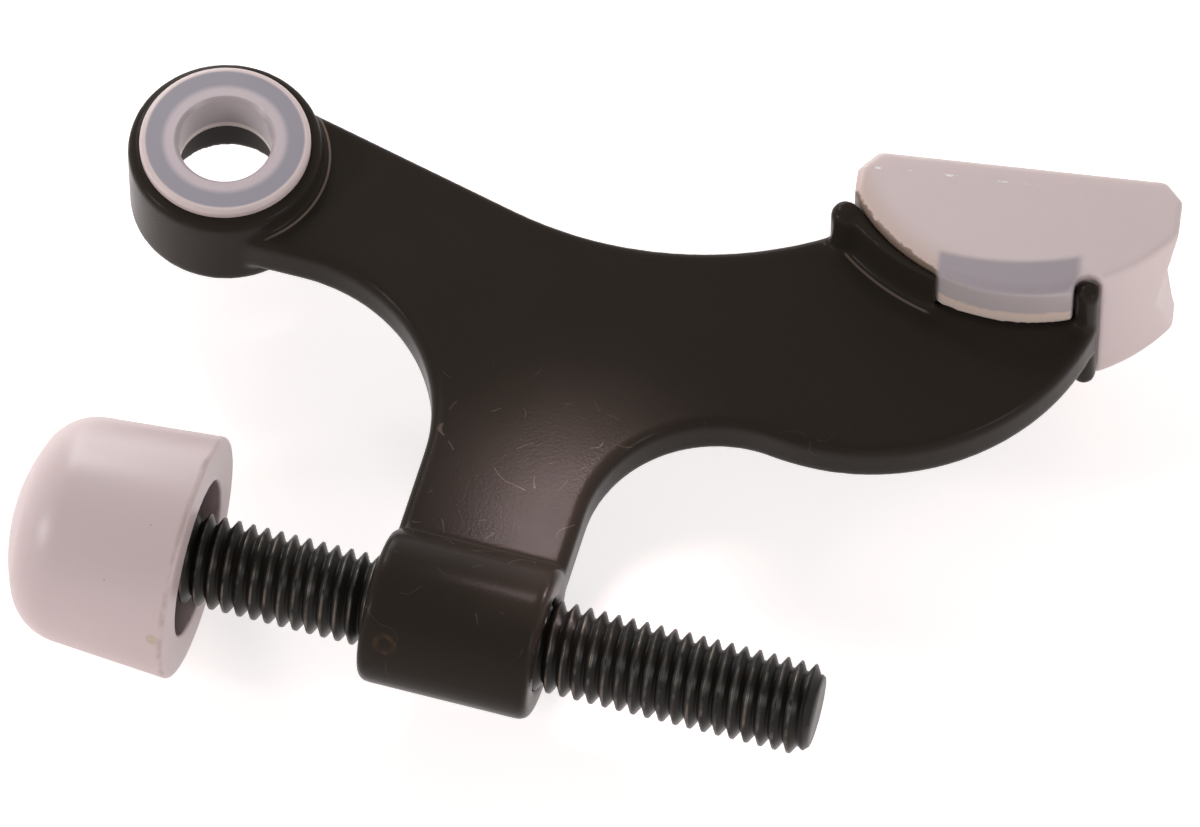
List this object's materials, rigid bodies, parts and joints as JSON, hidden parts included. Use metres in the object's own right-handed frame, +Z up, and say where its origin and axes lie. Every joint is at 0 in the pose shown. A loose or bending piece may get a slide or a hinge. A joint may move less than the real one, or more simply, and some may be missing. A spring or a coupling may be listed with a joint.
{
  "type": "hinge pin door stop",
  "caption": "Door stop that hangs on a hinge pin: flat forked cast arm with an eye, a clipped-in soft pad, and a screw with a soft cap running through a sleeve.",
  "frame": {"origin": "on the hinge pin's axis, on the eye's top face, under the bushing's flange", "axes": "+Z up along the hinge pin, +X along the screw from its cap towards its free end, +Y from the screw towards the eye"},
  "size_m": [0.0908, 0.0653, 0.0213],
  "materials": {
    "casting_paint": "satin",
    "bushing_plastic": "satin",
    "black_steel": "satin",
    "cap_plastic": "matte",
    "pad_plastic": "satin"
  },
  "bodies": {
    "casting": {"cast_body": "casting_paint", "eye_bushing": "bushing_plastic", "arm_bumper": "pad_plastic"},
    "cap": {"rod_cap": "cap_plastic"},
    "rod": {"threaded_rod": "black_steel"}
  },
  "joints": [
    {"name": "rod_feed", "type": "slide", "parent": "casting", "child": "cap", "axis": [1, 0, 0], "range_m": [-0.022, 0.015]},
    {"name": "rod_turn", "type": "hinge", "parent": "cap", "child": "rod", "pos_m": [0.0088, -0.0378, -0.00455], "axis": [1, 0, 0], "range_deg": [-6336, 4320]}
  ],
  "couplings": [
    {"joint": "rod_turn", "follows": "rod_feed", "rad_per_m": 5026.5}
  ]
}
